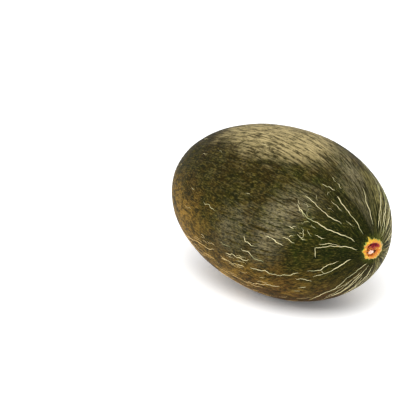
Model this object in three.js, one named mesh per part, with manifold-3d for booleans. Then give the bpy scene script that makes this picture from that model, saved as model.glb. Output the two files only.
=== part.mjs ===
// A whole winter melon of the toad-skin kind, lying on its side on the small flat spot that it grew on.
// It grew as one piece, so it is one solid: an egg-shaped fruit with the scar of its stem at one end and
// the small scar of its blossom at the other.
//
// Frame: +Z up, the surface it rests on at Z = 0, its long axis level along X and its stem end at +X.
// The origin is on that surface, below the middle of the fruit. Units are millimetres.

import * as THREE from "three";
import { mergeVertices } from "three/addons/utils/BufferGeometryUtils.js";
import Module from "manifold-3d";

// The fruit.
const LENGTH = 262; // between the two poles of its skin
const DIAMETER = 164; // at its widest ring
const STEM_END_LENGTH = 118; // from the widest ring to the skin's stem pole
const STEM_TAPER = 0.04; // how much slimmer than half an ellipse the stem end gets by its pole, as a share
const TAPER_POWER = 6; // how late along the stem end that slimming comes
const REST_DEPTH = 1.6; // how far the flat spot is pressed in from the round

// The scar where the stem broke away: a round dish inside a low swollen collar, with the stub of the stem's
// fibres in the middle of its floor.
const COLLAR_RADIUS = 8.2; // at the collar's crest
const COLLAR_WIDTH = 2.4; // from the crest out to the skin
const COLLAR_HEIGHT = 0.8; // of the crest above the skin
const DISH_RADIUS = 6; // of the dish's floor
const DISH_DEPTH = 2.4; // below the crest
const STUB_RADIUS = 2.2;
const STUB_HEIGHT = 1.1; // above the floor of the dish
const STUB_DRAFT = 0.8; // its top's radius as a share of its foot's

// The scar of the blossom: a low corky button.
const BUTTON_RADIUS = 4.2;
const BUTTON_HEIGHT = 0.7; // above the skin

// How finely the curved skin is cut into flats.
const RING_STEPS = 72; // round the long axis
const STEM_STEPS = 15; // along the outline, from the widest ring to the collar
const BLOSSOM_STEPS = 17; // and from the button to the widest ring
const ROUND_STEPS = 4; // over each side of a small rounded rim

const HALVINGS = 40; // of the range in which a place on the outline is searched for

const RADIUS = DIAMETER / 2;
const BLOSSOM_END_LENGTH = LENGTH - STEM_END_LENGTH;

// Radius of the stem end's skin at a distance from the widest ring, as a tapered half ellipse.
function stemEndRadius(distance) {
  const share = distance / STEM_END_LENGTH;
  return RADIUS * Math.sqrt(Math.max(0, 1 - share * share)) * (1 - STEM_TAPER * share ** TAPER_POWER);
}

// Distance from the widest ring at which the stem end's skin has shrunk to a radius.
function stemEndDistance(radius) {
  let near = 0;
  let far = STEM_END_LENGTH;
  for (let halving = 0; halving < HALVINGS; halving++) {
    const middle = (near + far) / 2;
    if (stemEndRadius(middle) > radius) near = middle;
    else far = middle;
  }
  return (near + far) / 2;
}

// The outline from the blossom pole to the stem pole, as points of (radius, distance from the widest ring).
function fruitOutline() {
  const outline = [];
  const add = (radius, distance) => outline.push(new THREE.Vector2(radius, distance));

  // The blossom's button, a low dome that meets the skin at its foot.
  const buttonTurn = Math.asin(BUTTON_RADIUS / RADIUS);
  const buttonFoot = -BLOSSOM_END_LENGTH * Math.cos(buttonTurn);
  for (let step = 0; step < ROUND_STEPS; step++) {
    const turn = (Math.PI / 2) * (step / ROUND_STEPS);
    add(BUTTON_RADIUS * Math.sin(turn), buttonFoot - BUTTON_HEIGHT * Math.cos(turn));
  }

  // The blossom end is half an ellipse.
  for (let step = 0; step < BLOSSOM_STEPS; step++) {
    const turn = buttonTurn + (Math.PI / 2 - buttonTurn) * (step / BLOSSOM_STEPS);
    add(RADIUS * Math.sin(turn), -BLOSSOM_END_LENGTH * Math.cos(turn));
  }

  // The stem end runs from the widest ring to the outer foot of the collar.
  const collarFootRadius = COLLAR_RADIUS + COLLAR_WIDTH;
  const lastTurn = Math.asin(stemEndDistance(collarFootRadius) / STEM_END_LENGTH);
  for (let step = 0; step <= STEM_STEPS; step++) {
    const distance = STEM_END_LENGTH * Math.sin(lastTurn * (step / STEM_STEPS));
    add(stemEndRadius(distance), distance);
  }

  // The collar swells out of the skin to its crest, and rounds over into the dish.
  for (let step = 1; step <= ROUND_STEPS; step++) {
    const share = step / ROUND_STEPS;
    const radius = collarFootRadius - COLLAR_WIDTH * share;
    add(radius, stemEndDistance(radius) + COLLAR_HEIGHT * Math.sin((Math.PI / 2) * share));
  }
  const floor = stemEndDistance(COLLAR_RADIUS) + COLLAR_HEIGHT - DISH_DEPTH;
  for (let step = 1; step <= ROUND_STEPS; step++) {
    const share = step / ROUND_STEPS;
    const radius = COLLAR_RADIUS + (DISH_RADIUS - COLLAR_RADIUS) * share;
    add(radius, floor + DISH_DEPTH * Math.cos((Math.PI / 2) * share));
  }

  // The stub stands in the middle of the dish.
  add(STUB_RADIUS, floor);
  add(STUB_RADIUS * STUB_DRAFT, floor + STUB_HEIGHT);
  add(0, floor + STUB_HEIGHT);
  return outline;
}

// A closed three.js geometry as a manifold-3d solid.
function solidOf(wasm, geometry) {
  const plain = geometry.clone();
  plain.deleteAttribute("normal");
  plain.deleteAttribute("uv");
  const merged = mergeVertices(plain, 1e-3);
  return new wasm.Manifold(
    new wasm.Mesh({
      numProp: 3,
      vertProperties: merged.attributes.position.array,
      triVerts: new Uint32Array(merged.index.array),
    }),
  );
}

// A manifold-3d solid as a three.js geometry.
function geometryOf(solid) {
  const { vertProperties, triVerts } = solid.getMesh();
  const geometry = new THREE.BufferGeometry();
  geometry.setAttribute("position", new THREE.BufferAttribute(vertProperties, 3));
  geometry.setIndex(new THREE.BufferAttribute(triVerts, 1));
  geometry.computeVertexNormals();
  return geometry;
}

// The fruit laid on its side, with the flat spot cut where it rests.
function fruitGeometry(wasm) {
  const round = new THREE.LatheGeometry(fruitOutline(), RING_STEPS);
  round.rotateZ(-Math.PI / 2); // the outline's axis, +Y, becomes +X
  round.computeBoundingBox();
  const middle = round.boundingBox.getCenter(new THREE.Vector3());
  round.translate(-middle.x, 0, RADIUS - REST_DEPTH);

  const below = new THREE.BoxGeometry(2 * LENGTH, 2 * DIAMETER, DIAMETER);
  below.translate(0, 0, -DIAMETER / 2);
  return geometryOf(solidOf(wasm, round).subtract(solidOf(wasm, below)));
}

const wasm = await Module();
wasm.setup();

const rind = new THREE.MeshStandardMaterial({ color: 0x4c4a22, roughness: 0.55, metalness: 0 });

const melon = new THREE.Mesh(fruitGeometry(wasm), rind);
melon.name = "melon";

const part = new THREE.Group();
part.add(melon);

export default part;
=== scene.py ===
"""A whole winter melon of the toad-skin kind, on its side on a pale studio floor.

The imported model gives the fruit's place and its overall size. This script grows the finished surface on
it: the waxy mottled rind, the raised net of dry cork, the torn scar of the stem and the corky button of the
blossom. Lengths are in metres, +Z is up, and the stem's end of the fruit is at +X.
"""

import logging
import math
from dataclasses import dataclass, field
from enum import Enum

import bmesh
import bpy
import numpy as np
from bpy.types import Material, Node, NodeSocket, NodeTree, Object
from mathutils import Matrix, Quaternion, Vector, noise


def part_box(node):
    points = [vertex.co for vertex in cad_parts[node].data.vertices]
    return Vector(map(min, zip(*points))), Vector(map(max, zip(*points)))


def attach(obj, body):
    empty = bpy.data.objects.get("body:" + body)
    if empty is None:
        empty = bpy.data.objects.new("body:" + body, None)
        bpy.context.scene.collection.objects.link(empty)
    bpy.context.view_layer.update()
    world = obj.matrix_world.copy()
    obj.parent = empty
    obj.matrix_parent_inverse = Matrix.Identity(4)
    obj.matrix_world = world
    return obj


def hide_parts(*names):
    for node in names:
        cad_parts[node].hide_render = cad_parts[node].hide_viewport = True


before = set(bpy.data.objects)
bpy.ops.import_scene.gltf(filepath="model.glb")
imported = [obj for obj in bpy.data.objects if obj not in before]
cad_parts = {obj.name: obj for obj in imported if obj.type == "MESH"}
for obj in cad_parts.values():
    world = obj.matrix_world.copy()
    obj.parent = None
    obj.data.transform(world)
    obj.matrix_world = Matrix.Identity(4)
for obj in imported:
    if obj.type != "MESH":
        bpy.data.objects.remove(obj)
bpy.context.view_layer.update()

LOG = logging.getLogger("melon")
MM = 0.001
BODY = "root"
FRUIT_NODE = "melon"
PLACE = "skin_place"  # attribute: distance from the stem's pole, and the direction round the long axis
REACH = "reach"  # attribute: how far out in the stem's scar a point is, 0 in the pit and 1 at the tips
# The upper part of the scar's pit is painted dark red: partly the flesh's own red, partly painted shade.
PIT_RED_AND_SHADE = "wine_red"  # attribute: how far a point lies in the upper part of the scar's pit
# the name that the export looks for when it bakes a piece's colours
BAKE_MAP = "OFBake"  # the name of the map that unrolls the rind's skin


# ----------------------------------------------------------------------------------------------------------
# Small helpers
# ----------------------------------------------------------------------------------------------------------


def linear(code: str, alpha: float = 1.0) -> tuple[float, float, float, float]:
    """Turn an sRGB hex colour into linear light.

    Args:
        code: six hex digits, such as "4c4a22".
        alpha: the colour's opacity.

    Returns:
        Red, green, blue and alpha, as shader sockets take them.
    """
    channels = (int(code[place : place + 2], 16) / 255 for place in (0, 2, 4))
    red, green, blue = (c / 12.92 if c <= 0.04045 else ((c + 0.055) / 1.055) ** 2.4 for c in channels)
    return red, green, blue, alpha


def add_node(
    tree: NodeTree,
    kind: str,
    settings: dict[str | int, object] | None = None,
    links: dict[str | int, Node | NodeSocket] | None = None,
) -> Node:
    """Add one node to a tree, set it and link it.

    Args:
        tree: the node tree it goes in.
        kind: the node's type name, such as "ShaderNodeMix".
        settings: property names, or input names and numbers, with their values.
        links: input names or numbers, each with the socket, or the node's one output, that feeds it.

    Returns:
        The new node.
    """
    node = tree.nodes.new(kind)
    for key, value in (settings or {}).items():
        if isinstance(key, str) and hasattr(node, key):
            setattr(node, key, value)
        else:
            node.inputs[key].default_value = value
    for key, source in (links or {}).items():
        if isinstance(source, Node):
            source = next(output for output in source.outputs if output.enabled)
        tree.links.new(source, node.inputs[key])
    return node


def new_material(name: str) -> tuple[Material, NodeTree]:
    """Make an empty node material.

    Args:
        name: the material's name.

    Returns:
        The material and its node tree, with no nodes in it.
    """
    material = bpy.data.materials.new(name)
    material.use_nodes = True
    material.node_tree.nodes.clear()
    return material, material.node_tree


def lay_colours(tree: NodeTree, ground: str, layers: tuple[tuple[Node, float, float, str], ...]) -> Node:
    """Lay colours over one another, each where a value has come far enough.

    Args:
        tree: the material's node tree.
        ground: the hex colour under them all.
        layers: for each, the value, where it begins to cover, where it covers fully, and its hex colour.

    Returns:
        The finished colour.
    """
    colour = add_node(tree, "ShaderNodeRGB")
    colour.outputs[0].default_value = linear(ground)
    for source, start, end, over in layers:
        span = {"interpolation_type": "SMOOTHSTEP", "From Min": start, "From Max": end}
        share = add_node(tree, "ShaderNodeMapRange", span, {"Value": source})
        mixed = {"data_type": "RGBA", 7: linear(over)}
        colour = add_node(tree, "ShaderNodeMix", mixed, {0: share, 6: colour})
    return colour


def finish_surface(tree: NodeTree, settings: dict[str, object], links: dict[str, Node]) -> None:
    """End a material with its surface.

    Args:
        tree: the material's node tree.
        settings: the surface's input names with their values.
        links: its input names with the nodes that feed them.
    """
    shader = add_node(tree, "ShaderNodeBsdfPrincipled", settings, links)
    add_node(tree, "ShaderNodeOutputMaterial", links={"Surface": shader})


def smooth_share(value: np.ndarray, start: float, end: float) -> np.ndarray:
    """Ease from 0 at start to 1 at end, either way round.

    Args:
        value: the values to place.
        start: the value that gives 0.
        end: the value that gives 1.

    Returns:
        The eased shares.
    """
    share = np.clip((value - start) / (end - start), 0.0, 1.0)
    return share * share * (3.0 - 2.0 * share)


def noise_at(points: np.ndarray, feature: float, seed: float) -> np.ndarray:
    """Smooth noise between about -1 and 1.

    Args:
        points: the places, one row each.
        feature: the size of a bump, in the points' own unit.
        seed: a shift that gives another pattern.

    Returns:
        One value for each point.
    """
    shift = Vector((seed * 17.3, seed * 5.1, seed * 11.7))
    return np.array([noise.noise(Vector(point) + shift) for point in points / feature])


def mesh_piece(name: str, vertices: np.ndarray, faces: list[tuple[int, ...]]) -> Object:
    """Make a smooth mesh object that rides on the fruit's body.

    Args:
        name: the piece's name.
        vertices: places in the row frame, one row each.
        faces: vertex numbers of each face of closed forms.

    Returns:
        The new object.
    """
    mesh = bpy.data.meshes.new(name)
    mesh.from_pydata(vertices.tolist(), [], faces)
    shape = bmesh.new()
    shape.from_mesh(mesh)
    bmesh.ops.recalc_face_normals(shape, faces=shape.faces)
    shape.to_mesh(mesh)
    shape.free()
    mesh.polygons.foreach_set("use_smooth", np.ones(len(mesh.polygons), dtype=bool))
    mesh.update()
    piece = bpy.data.objects.new(name, mesh)
    bpy.context.scene.collection.objects.link(piece)
    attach(piece, BODY)
    return piece


def grid_faces(rows: int, columns: int, first: int = 0) -> list[tuple[int, int, int, int]]:
    """Faces between rows of points that each close on themselves.

    Args:
        rows: how many rows of points there are.
        columns: how many points are in a row.
        first: the number of the first point.

    Returns:
        Four vertex numbers for each face.
    """
    faces = []
    for row in range(rows - 1):
        here = first + row * columns
        for column in range(columns):
            after = (column + 1) % columns
            faces.append((here + column, here + after, here + columns + after, here + columns + column))
    return faces


def fan_faces(columns: int, first: int, centre: int) -> list[tuple[int, int, int]]:
    """Faces between a row of points that closes on itself and one point.

    Args:
        columns: how many points are in the row.
        first: the number of the row's first point.
        centre: the number of the one point.

    Returns:
        Three vertex numbers for each face.
    """
    return [(first + column, first + (column + 1) % columns, centre) for column in range(columns)]


# ----------------------------------------------------------------------------------------------------------
# The fruit's form
# ----------------------------------------------------------------------------------------------------------


@dataclass
class Skin:
    """The fruit's outer form: a place for every distance from the stem and every angle round the long axis.

    The angle is 0 at the top and grows towards -Y, so that 180 degrees is underneath.
    """

    low: Vector
    high: Vector
    scars_proud: float = 0.34 * MM  # how far each scar stands out past the skin's pole
    stem_end: float = 118 * MM  # from the widest ring to the stem's pole
    stem_taper: float = 0.04  # how much slimmer than half an ellipse the stem end gets
    taper_power: float = 6.0
    lump_height: float = 0.7 * MM
    lump_size: float = 62 * MM
    small_lumps: tuple[float, float] = (0.45, 2.6)  # their height, and how often they fit in a large one
    rib_height: float = 0.55 * MM
    rib_width: float = 0.30  # as a share of the turn round the fruit, in radians
    rib_fade: float = 46 * MM  # distance from the stem over which the ribs die out
    wrinkle_height: float = 0.32 * MM
    wrinkle_across: float = 3.8 * MM
    wrinkle_along: float = 17 * MM
    wrinkles_below: float = 0.35  # how high they stand on the lower half, as a share of their height on top
    calm_pole: tuple[float, float] = (2 * MM, 16 * MM)  # where all relief sets in, from the stem's pole
    scar_aside: tuple[float, float] = (-0.5 * MM, -2.3 * MM)  # the stem's scar from the axis, to +Y and up
    scar_reach: float = 34 * MM  # how far from the stem the skin is drawn aside with it
    scar_core: float = 9 * MM  # and how far it is drawn the whole way
    samples: int = 3000

    def __post_init__(self) -> None:
        """Work out the outline once, as samples from the stem's pole to the blossom's."""
        self.radius = (self.high.y - self.low.y) / 2
        self.axis_height = self.high.z - self.radius
        stem_pole = self.high.x - self.scars_proud
        blossom_end = stem_pole - (self.low.x + self.scars_proud) - self.stem_end
        turn = np.linspace(0.0, math.pi / 2, self.samples)
        ahead = np.cos(turn)
        taper = 1.0 - self.stem_taper * ahead**self.taper_power
        reach = np.concatenate([self.stem_end * ahead, -blossom_end * np.sin(turn[1:])])
        self.ring = np.concatenate([self.radius * np.sin(turn) * taper, self.radius * np.cos(turn[1:])])
        self.x = stem_pole - self.stem_end + reach
        steps = np.hypot(np.diff(self.x), np.diff(self.ring))
        self.along = np.concatenate([[0.0], np.cumsum(steps)])
        self.length = float(self.along[-1])
        self.slope_x = np.gradient(self.ring, self.along)
        self.slope_ring = -np.gradient(self.x, self.along)

    def on_stem_end(self, aside: np.ndarray, rise: np.ndarray | float = 0.0) -> np.ndarray:
        """Places over the stem's end, by where they are across the long axis.

        Args:
            aside: offsets from the long axis, with X at 0.
            rise: heights above the smooth skin, along the axis.

        Returns:
            The places.
        """
        points = aside.copy()
        distance = np.hypot(aside[:, 1], aside[:, 2])
        stem = slice(0, self.samples)
        points[:, 0] = np.interp(distance, self.ring[stem], self.x[stem]) + rise
        points[:, 2] += self.axis_height
        return points

    def ring_radius(self, along: np.ndarray) -> np.ndarray:
        """Distance from the long axis to the smooth skin, at a distance from the stem."""
        return np.interp(along, self.along, self.ring)

    def direction(self, angle: np.ndarray) -> np.ndarray:
        """The direction straight out from the long axis at an angle in radians."""
        return np.stack([np.zeros_like(angle), -np.sin(angle), np.cos(angle)], axis=-1)

    def relief(self, along: np.ndarray, angle: np.ndarray) -> np.ndarray:
        """How far the real skin stands out of the smooth form.

        Args:
            along: distances from the stem's pole.
            angle: angles round the axis, in radians.

        Returns:
            Heights in metres, some of them below 0.
        """
        outward = self.direction(angle)
        ring = self.ring_radius(along)
        smooth = outward * ring[:, None]
        smooth[:, 0] = np.interp(along, self.along, self.x)
        share, fit = self.small_lumps
        lumps = noise_at(smooth, self.lump_size, 1) + share * noise_at(smooth, self.lump_size / fit, 2)
        ribs = noise_at(outward, self.rib_width, 3) * np.exp(-along / self.rib_fade)
        strand = outward * self.radius / self.wrinkle_across
        strand[:, 0] = along / self.wrinkle_along
        ridges = 1.0 - 2.2 * np.abs(noise_at(strand, 1.0, 4))
        upper = self.wrinkles_below + (1.0 - self.wrinkles_below) * smooth_share(outward[:, 2], 0.0, 0.7)
        height = self.lump_height * lumps + self.rib_height * ribs + self.wrinkle_height * ridges * upper
        return height * smooth_share(along, *self.calm_pole)

    def place(self, along: np.ndarray, angle: np.ndarray) -> tuple[np.ndarray, np.ndarray]:
        """Where the real skin is.

        Args:
            along: distances from the stem's pole.
            angle: angles round the axis, in radians.

        Returns:
            The places, flat where they rest, and the smooth form's normals there.
        """
        outward = self.direction(angle)
        normal = outward * np.interp(along, self.along, self.slope_ring)[:, None]
        normal[:, 0] = np.interp(along, self.along, self.slope_x)
        normal /= np.linalg.norm(normal, axis=1)[:, None]
        points = outward * self.ring_radius(along)[:, None]
        points[:, 0] = np.interp(along, self.along, self.x)
        points[:, 2] += self.axis_height

        # Round the stem the rings are centred on its scar.
        near = along < self.scar_reach
        drawn = np.zeros((int(near.sum()), 3))
        share = smooth_share(along[near], self.scar_reach, self.scar_core)
        drawn[:, 1:] = share[:, None] * self.scar_aside
        points[near] = self.on_stem_end(outward[near] * self.ring_radius(along[near])[:, None] + drawn)
        points += normal * self.relief(along, angle)[:, None]
        points[:, 2] = np.maximum(points[:, 2], 0.0)
        return points, normal


# ----------------------------------------------------------------------------------------------------------
# Finishes
# ----------------------------------------------------------------------------------------------------------


@dataclass(frozen=True)
class PaintedSheen:
    """A greyish patch painted into the skin's colour: a painted sheen of the soft light on the wax."""

    ends: tuple[tuple[float, float], ...]  # of its middle line: metres from the stem, and degrees round
    width: float  # from the middle line to where it fades out
    strength: float

    def space(self, round_radius: float) -> dict[str, object]:
        """The settings of a mapping that measures places from the patch's middle, as shares of its size.

        Args:
            round_radius: the radius of the fruit's widest ring.

        Returns:
            Property and input names with their values.
        """
        ends = []
        for along, angle in self.ends:
            turn = math.radians(angle)
            ends.append(Vector((along, -math.sin(turn) * round_radius, math.cos(turn) * round_radius)))
        line = ends[1] - ends[0]
        return {
            "vector_type": "TEXTURE",
            "Location": ends[0] + line / 2,
            "Rotation": line.to_track_quat("Z", "Y").to_euler(),
            "Scale": (self.width, self.width, line.length / 2 + self.width),
        }


@dataclass(frozen=True)
class WaxyRind:
    """The grown skin of a toad-skin melon, with a thin natural wax.

    To the eye it is a dark, speckled, satin olive with hardly a highlight of its own: ochre where it lay
    near the soil, wrinkled on its top, and striped beside the stem. Painted into its colour are light and
    shade: a pale brown highlight on the top, greyish patches of sheen, sheen on the wrinkles' ridges and
    shade in their grooves.
    """

    round_radius: float  # of the fruit's widest ring
    deep_green: str = "0e1305"
    stem_green: str = "1a2208"
    leaf_green: str = "2b310b"
    olive: str = "3c3510"
    bark_brown: str = "33280e"
    earth_brown: str = "54401a"
    pale_fleck: str = "83773a"
    ochre: str = "9c7730"
    rust: str = "452a10"
    # Painted light: shade in the wrinkles' grooves, sheen on their ridges, and the highlight on the top.
    groove_shade_brown: str = "241b0a"
    ridge_sheen_grey: str = "655a3c"
    highlight_tan: str = "b3a273"
    pale_stripe: str = "88804f"
    halo_green: str = "4c541a"
    # A painted sheen, in greyish patches where the soft light's reflection lies.
    painted_sheen: str = "93896a"
    painted_sheens: tuple[PaintedSheen, ...] = (
        PaintedSheen(((84 * MM, 40.0), (116 * MM, 98.0)), 30 * MM, 0.75),
        PaintedSheen(((24 * MM, 0.0), (70 * MM, 6.0)), 21 * MM, 0.5),
        PaintedSheen(((44 * MM, -6.0), (112 * MM, -16.0)), 26 * MM, 0.62),
        PaintedSheen(((136 * MM, 74.0), (160 * MM, 96.0)), 34 * MM, 0.35),
    )
    speckle: float = 1.2 * MM  # real flecks are about half as wide, and are drawn coarser so that they show
    blotch: float = 5 * MM
    patch: float = 15 * MM
    stripe: float = 5 * MM
    wrinkle: float = 2.2 * MM  # real ones are from 1 mm, and are drawn coarser so that they show
    wrinkle_length: float = 17 * MM
    bump: float = 0.08 * MM
    roughness: float = 0.5

    def build(self) -> Material:
        """Make the rind's material.

        Returns:
            The material.
        """
        material, tree = new_material("melon_rind_waxed_skin")
        position = add_node(tree, "ShaderNodeNewGeometry").outputs["Position"]
        place = add_node(tree, "ShaderNodeAttribute", {"attribute_name": PLACE}).outputs["Vector"]
        grains = self._grains(tree, place, position)
        shares = self._shares(tree, grains, place, position)
        # Greyish patches of painted sheen.
        shares["sheen_cover"] = self._sheen_cover(tree, place, shares["sheen_breakup"])

        # The colours, each laid over those before it.
        colour = add_node(tree, "ShaderNodeRGB")
        colour.outputs[0].default_value = linear(self.leaf_green)
        for share, strength, over in (
            ("olive", 1.0, self.olive),
            ("brown", 0.9, self.bark_brown),
            ("aged", 0.5, self.bark_brown),
            ("earthy", 0.75, self.earth_brown),
            ("tanned", 0.9, self.ochre),
            ("rusted", 0.85, self.rust),
            ("mossy", 0.75, self.leaf_green),
            # painted highlight on the top
            ("top_highlight", 0.7, self.highlight_tan),
            ("green_end", 0.75, self.stem_green),
            ("stem_green", 0.8, self.deep_green),
            ("pale_line", 0.85, self.pale_stripe),
            ("halo", 0.6, self.halo_green),
            ("shade", 0.68, self.deep_green),
            # painted sheen on the wrinkles' ridges, high on the fruit
            ("ridge_sheen", 0.3, self.ridge_sheen_grey),
            # painted sheen in greyish patches
            ("sheen_cover", 1.0, self.painted_sheen),
            ("dark", 0.7, self.deep_green),
            ("light", 0.36, self.pale_fleck),
            # painted highlight on the wrinkles' ridges within the top's highlight
            ("ridge_highlight", 0.75, self.highlight_tan),
            # painted shade in the wrinkles' grooves, high on the fruit
            ("groove_shade", 0.6, self.groove_shade_brown),
        ):
            cover = {"operation": "MULTIPLY", 1: strength}
            cover = add_node(tree, "ShaderNodeMath", cover, {0: shares[share]})
            mixed = {"data_type": "RGBA", 7: linear(over)}
            colour = add_node(tree, "ShaderNodeMix", mixed, {0: cover, 6: colour})

        wax = {"operation": "MULTIPLY_ADD", 1: 0.22, 2: self.roughness - 0.11}
        rough = add_node(tree, "ShaderNodeMath", wax, {0: grains["fleck"]})
        bump = self._relief(tree, grains, shares["top_highlight"])
        links = {"Base Color": colour, "Roughness": rough, "Normal": bump}
        finish_surface(tree, {"IOR": 1.45, "Specular IOR Level": 0.02}, links)
        return material

    def _grains(self, tree: NodeTree, place: NodeSocket, position: NodeSocket) -> dict[str, NodeSocket]:
        """Add the noises that the skin's colours and relief are drawn from.

        Args:
            tree: the material's node tree.
            place: where a point is on the unrolled skin.
            position: where it is in space.

        Returns:
            Each noise by its name.
        """
        grains = {}
        # What each is drawn on, how long it is for its width, its width, its detail and how tangled it is.
        for name, source, long, width, detail, tangle in (
            ("fleck", place, 2.8, self.speckle, 5.0, 0.4),
            ("pore", position, 1.0, self.speckle * 0.55, 2.0, 0.0),
            ("blotch", place, 1.6, self.blotch, 3.0, 0.0),
            ("patch", position, 1.0, self.patch, 4.0, 0.0),
            ("field", position, 1.0, self.patch * 2.6, 3.0, 0.0),
            ("stripe", place, 9.0, self.stripe, 2.0, 0.0),
            ("wrinkle", place, self.wrinkle_length / self.wrinkle, self.wrinkle, 4.0, 0.5),
        ):
            stretch = {"operation": "MULTIPLY", 1: (1 / long, 1, 1)}
            drawn = add_node(tree, "ShaderNodeVectorMath", stretch, {0: source})
            settings = {"Scale": 1 / width, "Detail": detail, "Roughness": 0.6, "Distortion": tangle}
            grains[name] = add_node(tree, "ShaderNodeTexNoise", settings, {"Vector": drawn}).outputs["Fac"]
        return grains

    def _shares(
        self,
        tree: NodeTree,
        grains: dict[str, NodeSocket],
        place: NodeSocket,
        position: NodeSocket,
    ) -> dict[str, Node]:
        """Add the shares by which the skin's colours cover it.

        Args:
            tree: the material's node tree.
            grains: its noises.
            place: where a point is on the unrolled skin.
            position: where it is in space.

        Returns:
            Each share by its name.
        """
        height = add_node(tree, "ShaderNodeSeparateXYZ", links={0: position}).outputs["Z"]
        along, flank, _ = add_node(tree, "ShaderNodeSeparateXYZ", links={0: place}).outputs

        # The highlight painted on the top has a ragged edge.
        ragged = {"operation": "MULTIPLY_ADD", 1: 26 * MM}
        crown = add_node(tree, "ShaderNodeMath", ragged, {0: grains["field"], 2: height})

        # Shares: each eases from 0 to 1 between two values of a grain, of the height or of the length.
        shares = {}
        for name, source, start, end in (
            ("olive", grains["patch"], 0.42, 0.60),
            ("brown", grains["field"], 0.44, 0.60),
            ("uneven", grains["patch"], 0.26, 0.54),
            ("rusty", grains["field"], 0.42, 0.58),
            ("striped", grains["stripe"], 0.60, 0.40),
            ("lined", grains["stripe"], 0.45, 0.60),
            ("shade", grains["blotch"], 0.54, 0.38),
            ("dark", grains["fleck"], 0.53, 0.41),
            ("light", grains["fleck"], 0.54, 0.68),
            ("fold", grains["wrinkle"], 0.45, 0.62),
            ("groove", grains["wrinkle"], 0.50, 0.37),
            ("low", height, 74 * MM, 18 * MM),
            ("earthy", height, 80 * MM, 36 * MM),
            ("below_shoulder", height, 128 * MM, 70 * MM),
            # where the highlight on the top is painted
            ("top_highlight", crown, 158 * MM, 174 * MM),
            ("upper", height, 92 * MM, 146 * MM),
            ("far", along, 150 * MM, 260 * MM),
            ("aged", along, 60 * MM, 150 * MM),
            ("mellow", along, 46 * MM, 138 * MM),
            ("near_stem", along, 105 * MM, 22 * MM),
            ("stem_reach", along, 140 * MM, 50 * MM),
            ("halo", along, 19 * MM, 10 * MM),
            ("high", height, 44 * MM, 84 * MM),
            ("behind", flank, -4 * MM, 50 * MM),
            # how much of the painted sheen the wrinkles let through
            ("sheen_breakup", grains["wrinkle"], 0.34, 0.60),
        ):
            span = {"interpolation_type": "SMOOTHSTEP", "From Min": start, "From Max": end}
            shares[name] = add_node(tree, "ShaderNodeMapRange", span, {"Value": source})

        # Where two or more of them meet.
        for name, operation, first, second in (
            ("far_side", "MULTIPLY", "far", "below_shoulder"),
            ("near_soil", "MAXIMUM", "low", "far_side"),
            ("ground", "MULTIPLY", "near_soil", "mellow"),
            ("tanned", "MULTIPLY", "ground", "uneven"),
            ("rusted", "MULTIPLY", "low", "rusty"),
            ("ground_behind", "MULTIPLY", "ground", "behind"),
            ("mossy", "MULTIPLY", "ground_behind", "brown"),
            ("green_end", "MULTIPLY", "near_stem", "high"),
            ("stem_green", "MULTIPLY", "near_stem", "striped"),
            ("stem_flank", "MULTIPLY", "stem_reach", "behind"),
            ("pale_line", "MULTIPLY", "stem_flank", "lined"),
            # painted light on the wrinkles: highlight and sheen on the ridges, shade in the grooves
            ("ridge_highlight", "MULTIPLY", "fold", "top_highlight"),
            ("groove_shade", "MULTIPLY", "groove", "upper"),
            ("ridge_sheen", "MULTIPLY", "fold", "upper"),
        ):
            links = {0: shares[first], 1: shares[second]}
            shares[name] = add_node(tree, "ShaderNodeMath", {"operation": operation}, links)
        return shares

    def _sheen_cover(self, tree: NodeTree, place: NodeSocket, sheen_breakup: Node) -> Node:
        """Add the share by which the painted sheen covers the skin, broken up by its folds.

        Args:
            tree: the material's node tree.
            place: where a point is on the unrolled skin.
            sheen_breakup: how much of the painted sheen a point's fold lets through.

        Returns:
            The share.
        """
        sheen_patches = None
        for painted_sheen in self.painted_sheens:
            reach = add_node(tree, "ShaderNodeMapping", painted_sheen.space(self.round_radius), {"Vector": place})
            reach = add_node(tree, "ShaderNodeVectorMath", {"operation": "LENGTH"}, {0: reach})
            span = {
                "interpolation_type": "SMOOTHSTEP",
                "From Min": 1.0,
                "From Max": 0.0,
                "To Max": painted_sheen.strength,
            }
            patch = add_node(tree, "ShaderNodeMapRange", span, {"Value": reach.outputs["Value"]})
            if sheen_patches:
                patch = add_node(tree, "ShaderNodeMath", {"operation": "MAXIMUM"}, {0: patch, 1: sheen_patches})
            sheen_patches = patch
        return add_node(tree, "ShaderNodeMath", {"operation": "MULTIPLY"}, {0: sheen_patches, 1: sheen_breakup})

    def _relief(self, tree: NodeTree, grains: dict[str, NodeSocket], top_highlight: Node) -> Node:
        """Add the relief too fine for the mesh: flecks, pores, and folds, deeper in the top's painted
        highlight.

        Args:
            tree: the material's node tree.
            grains: its noises.
            top_highlight: how far a point lies in the band on the top where the highlight is painted.

        Returns:
            The bump.
        """
        deepen = {"operation": "MULTIPLY_ADD", 1: 1.3, 2: 0.25}
        folds = add_node(tree, "ShaderNodeMath", deepen, {0: top_highlight})
        folds = add_node(tree, "ShaderNodeMath", {"operation": "MULTIPLY"}, {0: folds, 1: grains["wrinkle"]})
        pores = {"operation": "MULTIPLY_ADD", 1: 0.35}
        relief = add_node(tree, "ShaderNodeMath", pores, {0: grains["pore"], 2: grains["fleck"]})
        relief = add_node(tree, "ShaderNodeMath", {"operation": "ADD"}, {0: relief, 1: folds})
        depth = {"Strength": 0.9, "Distance": self.bump}
        return add_node(tree, "ShaderNodeBump", depth, {"Height": relief})


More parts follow.
